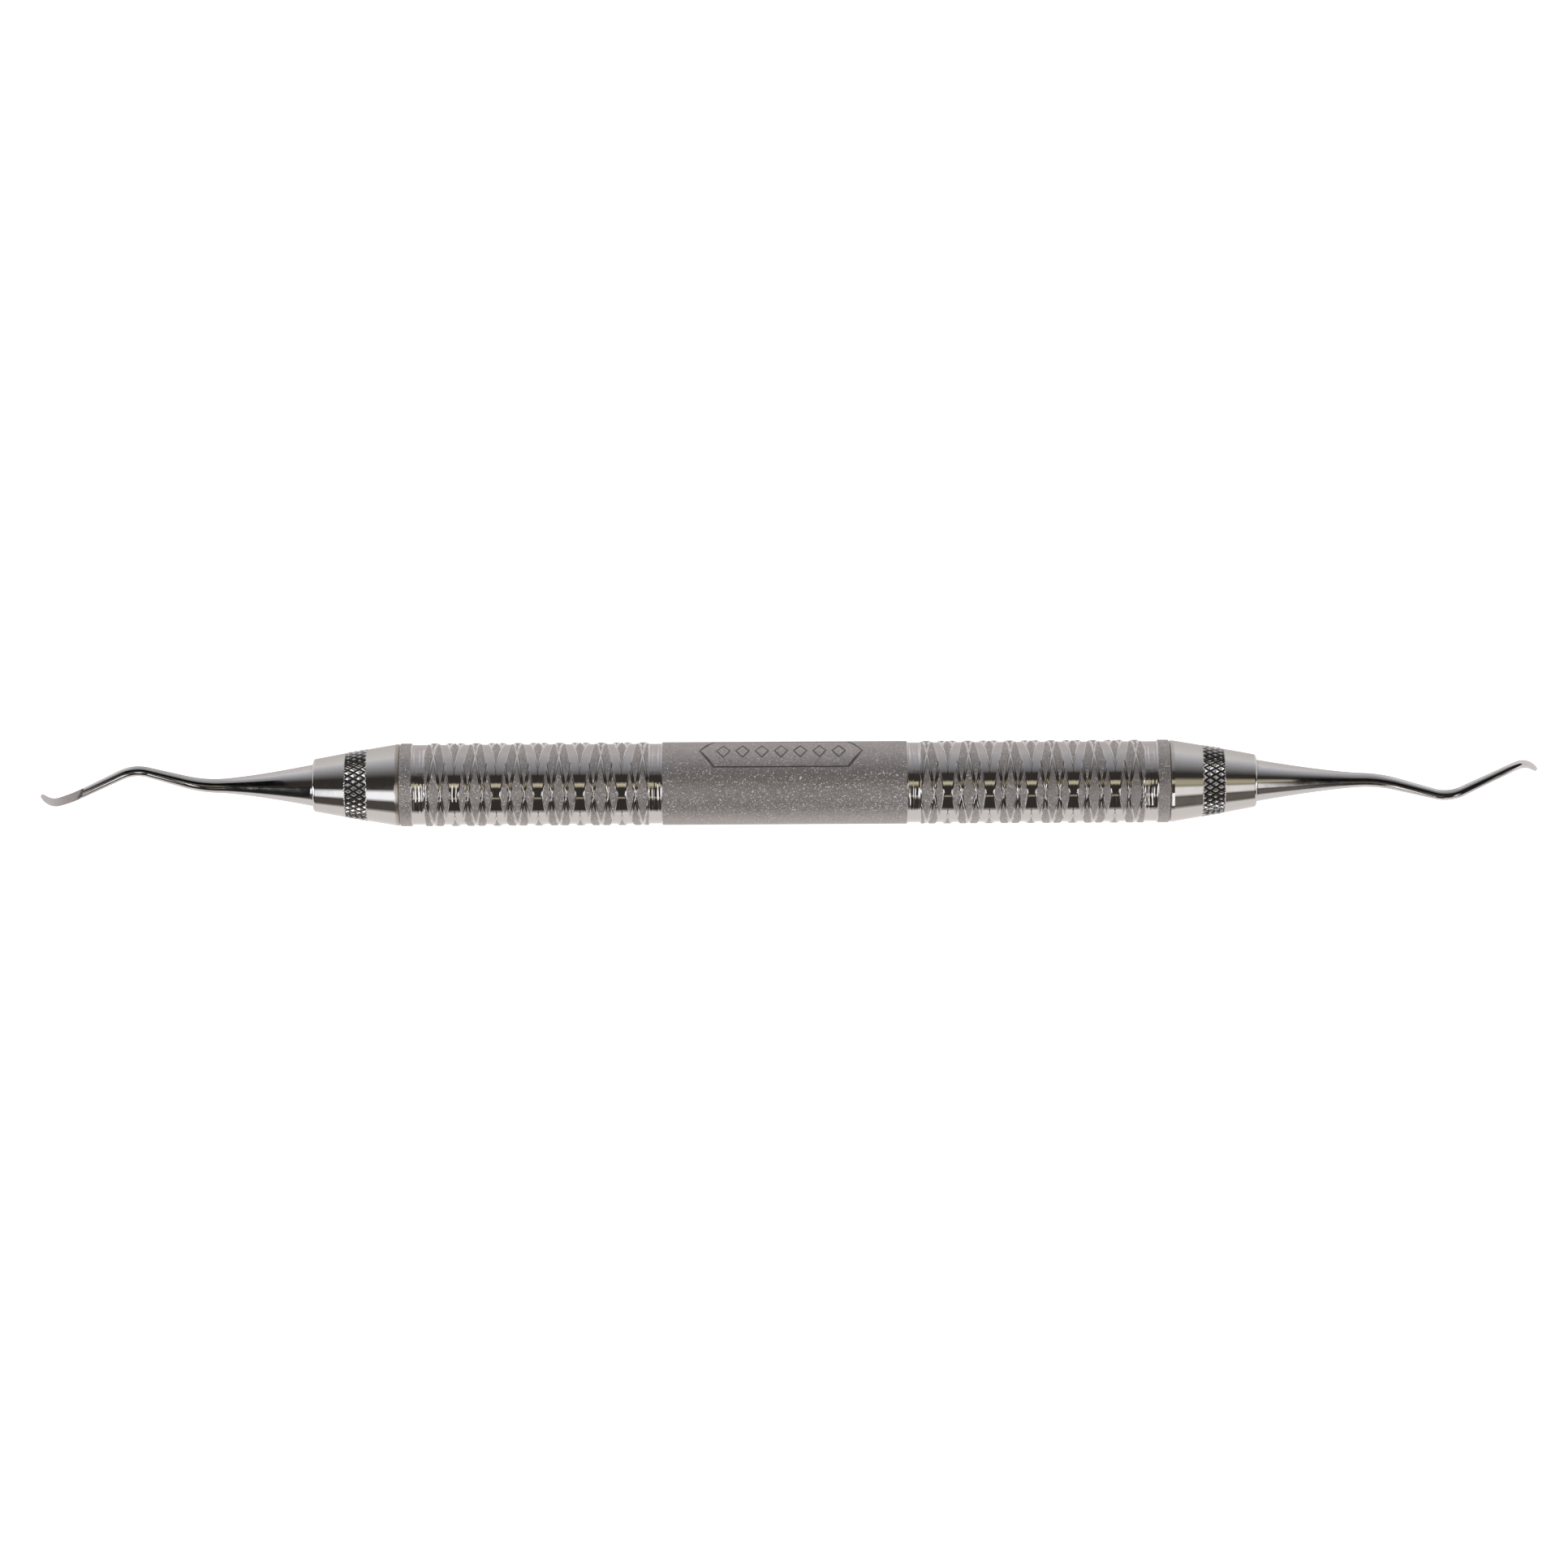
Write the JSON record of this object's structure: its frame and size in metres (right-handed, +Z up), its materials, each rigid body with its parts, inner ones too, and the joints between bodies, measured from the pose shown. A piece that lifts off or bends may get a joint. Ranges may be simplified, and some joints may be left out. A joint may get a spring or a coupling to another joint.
{
  "type": "dental hand scaler",
  "caption": "Hand scaler with a hollow knurled and grooved steel handle, screw-in cone sockets and a mirrored pair of bent working ends.",
  "frame": {"origin": "on the handle's axis, at the middle of its length", "axes": "+X along the handle towards the working end that shows its back, +Z up when the scaler lies on a table with both working ends bent in the horizontal plane, +Y completes the frame"},
  "size_m": [0.172, 0.0094, 0.0094],
  "materials": {
    "satin_handle": "bead-blasted satin, with polished turned grooves",
    "turned_bush": "turned",
    "seal": "matt",
    "polished_socket": "polished",
    "polished_shank": "polished, with satin ground blade faces"
  },
  "bodies": {
    "handle": {"handle_tube": "satin_handle", "left_thread_bush": "turned_bush", "right_thread_bush": "turned_bush"},
    "left_seal": {"left_seal_ring": "seal"},
    "right_seal": {"right_seal_ring": "seal"},
    "left_tip": {"left_cone_socket": "polished_socket", "left_working_end": "polished_shank"},
    "right_tip": {"right_cone_socket": "polished_socket", "right_working_end": "polished_shank"}
  },
  "joints": [
    {"name": "left_screw_travel", "type": "slide", "parent": "handle", "child": "left_seal", "axis": [-1, 0, 0], "range_m": [0, 0.006]},
    {"name": "left_screw_turn", "type": "hinge", "parent": "left_seal", "child": "left_tip", "pos_m": [-0.0441, 0, 0], "axis": [-1, 0, 0], "range_deg": [0, 2700]},
    {"name": "right_screw_travel", "type": "slide", "parent": "handle", "child": "right_seal", "axis": [1, 0, 0], "range_m": [0, 0.006]},
    {"name": "right_screw_turn", "type": "hinge", "parent": "right_seal", "child": "right_tip", "pos_m": [0.0441, 0, 0], "axis": [1, 0, 0], "range_deg": [0, 2700]}
  ],
  "couplings": [
    {"joint": "left_screw_travel", "follows": "left_screw_turn", "m_per_rad": 0.00012732},
    {"joint": "right_screw_travel", "follows": "right_screw_turn", "m_per_rad": 0.00012732}
  ]
}
